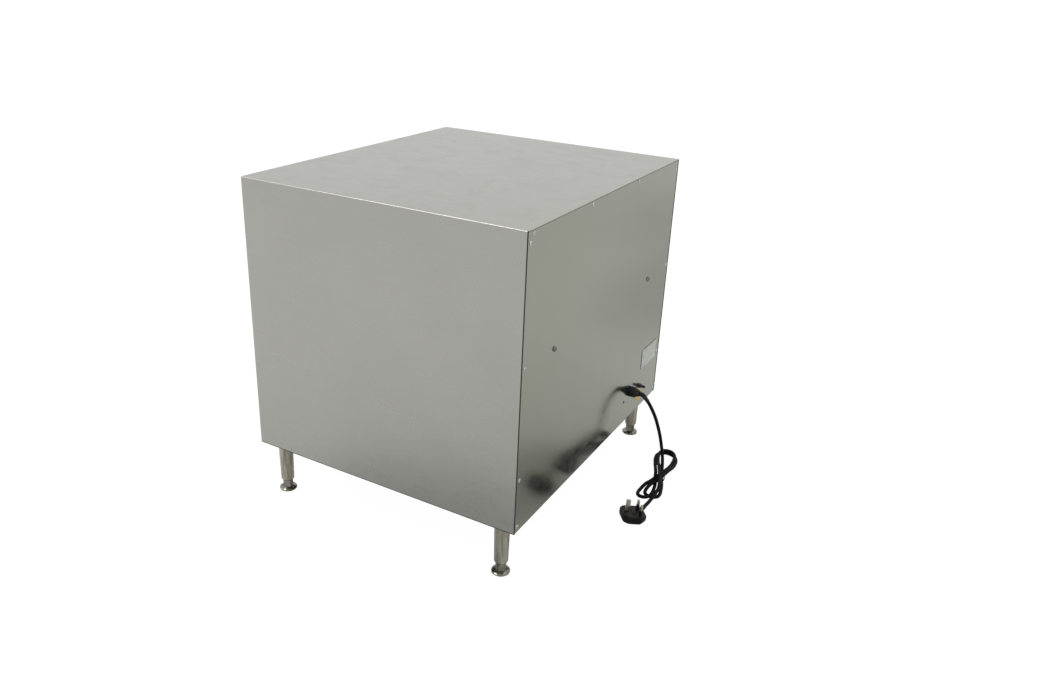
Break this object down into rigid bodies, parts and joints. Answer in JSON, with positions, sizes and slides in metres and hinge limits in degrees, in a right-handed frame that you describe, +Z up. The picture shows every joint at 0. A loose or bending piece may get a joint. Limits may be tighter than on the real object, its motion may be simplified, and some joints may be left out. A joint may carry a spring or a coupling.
{
  "type": "uv sterilizer cabinet",
  "caption": "Stainless steel UV sterilizer cabinet on adjustable legs, with a windowed door, timer, wire shelves, UV tube and a tied mains lead with plug.",
  "frame": {"origin": "on the floor at the centre of the cabinet box, leaving out the mains lead, its gland and its plug", "axes": "+Z up, -Y towards the front with its door, +Y towards the rear service panel, +X towards the handle side"},
  "size_m": [0.61, 0.693, 0.595],
  "materials": {
    "steel": "fine brushed stainless, warm grey",
    "door_aluminium": "satin brushed aluminium extrusion",
    "rear_steel": "smoother stainless sheet with a semi-bright finish",
    "liner": "bright annealed stainless",
    "shelf_wire": "bright plated wire",
    "handle_steel": "satin stainless bar",
    "hinge_steel": "satin stainless",
    "leg_metal": "satin nickel with dark streaks",
    "black_plastic": "black moulded nylon",
    "grey_plastic": "grey moulded plastic",
    "white_plastic": "white moulded thermoset",
    "rocker_red": "red moulded plastic",
    "lens": "red translucent lens",
    "dark_metal": "blackened steel",
    "ballast_case": "white painted sheet",
    "label": "blank silver-white film plate",
    "tinted_pane": "UV-blocking tinted pane",
    "uv_glass": "clear quartz tube with metal caps",
    "gasket": "black extruded seal",
    "cord": "black round flexible lead",
    "plug": "black moulded plug",
    "pin_brass": "nickelled brass pins"
  },
  "bodies": {
    "cabinet": {"outer_wrap": "steel", "base_panel": "steel", "rear_frame": "steel", "rear_panel": "rear_steel", "cable_gland": "black_plastic", "bonding_stud": "dark_metal", "rear_fixing_left": "steel", "rear_fixing_right": "steel", "rating_plate": "label", "control_fascia": "steel", "switch_body": "black_plastic", "indicator_lens": "lens", "timer_body": "grey_plastic", "chamber_floor": "liner", "chamber_roof": "liner", "chamber_side_left": "liner", "chamber_side_right": "liner", "chamber_back": "liner", "chamber_mouth": "liner", "shelf_rack_left": "liner", "shelf_rack_right": "liner", "shelf_lower": "shelf_wire", "shelf_upper": "shelf_wire", "uv_tube": "uv_glass", "lampholder_left": "white_plastic", "lampholder_right": "white_plastic", "ballast": "ballast_case", "lamp_starter": "white_plastic", "terminal_block": "white_plastic", "interlock_body": "black_plastic", "catch_magnet": "dark_metal", "cord_lead": "cord", "cord_hank": "cord", "cord_tail": "cord", "plug_body": "plug", "plug_earth_pin": "pin_brass", "plug_live_pin": "pin_brass", "plug_neutral_pin": "pin_brass", "hinge_top_cabinet_leaf": "hinge_steel", "hinge_top_pin": "hinge_steel", "hinge_bottom_cabinet_leaf": "hinge_steel", "hinge_bottom_pin": "hinge_steel", "leg_rear_right": "leg_metal", "foot_rear_right": "leg_metal", "leg_rear_left": "leg_metal", "foot_rear_left": "leg_metal", "leg_front_right": "leg_metal", "foot_front_right": "leg_metal", "leg_front_left": "leg_metal", "foot_front_left": "leg_metal"},
    "rocker": {"switch_rocker": "rocker_red"},
    "timer_knob": {"timer_knob": "black_plastic"},
    "interlock_plunger": {"interlock_plunger": "white_plastic"},
    "door": {"door_frame": "door_aluminium", "door_window": "tinted_pane", "door_gasket": "gasket", "door_handle": "handle_steel", "strike_plate": "steel", "hinge_top_door_leaf": "hinge_steel", "hinge_bottom_door_leaf": "hinge_steel"}
  },
  "joints": [
    {"name": "door_hinge", "type": "hinge", "parent": "cabinet", "child": "door", "pos_m": [-0.2855, -0.259, 0.311], "axis": [0, 0, -1], "range_deg": [0, 110]},
    {"name": "rocker_tilt", "type": "hinge", "parent": "cabinet", "child": "rocker", "pos_m": [0.215, -0.2497, 0.54085], "axis": [1, 0, 0], "range_deg": [0, 24]},
    {"name": "timer_turn", "type": "hinge", "parent": "cabinet", "child": "timer_knob", "pos_m": [0.06, -0.2635, 0.54085], "axis": [0, 1, 0], "range_deg": [0, 300]},
    {"name": "plunger_press", "type": "slide", "parent": "cabinet", "child": "interlock_plunger", "axis": [0, 1, 0], "range_m": [0, 0.004], "stiffness_N_per_m": 150}
  ]
}
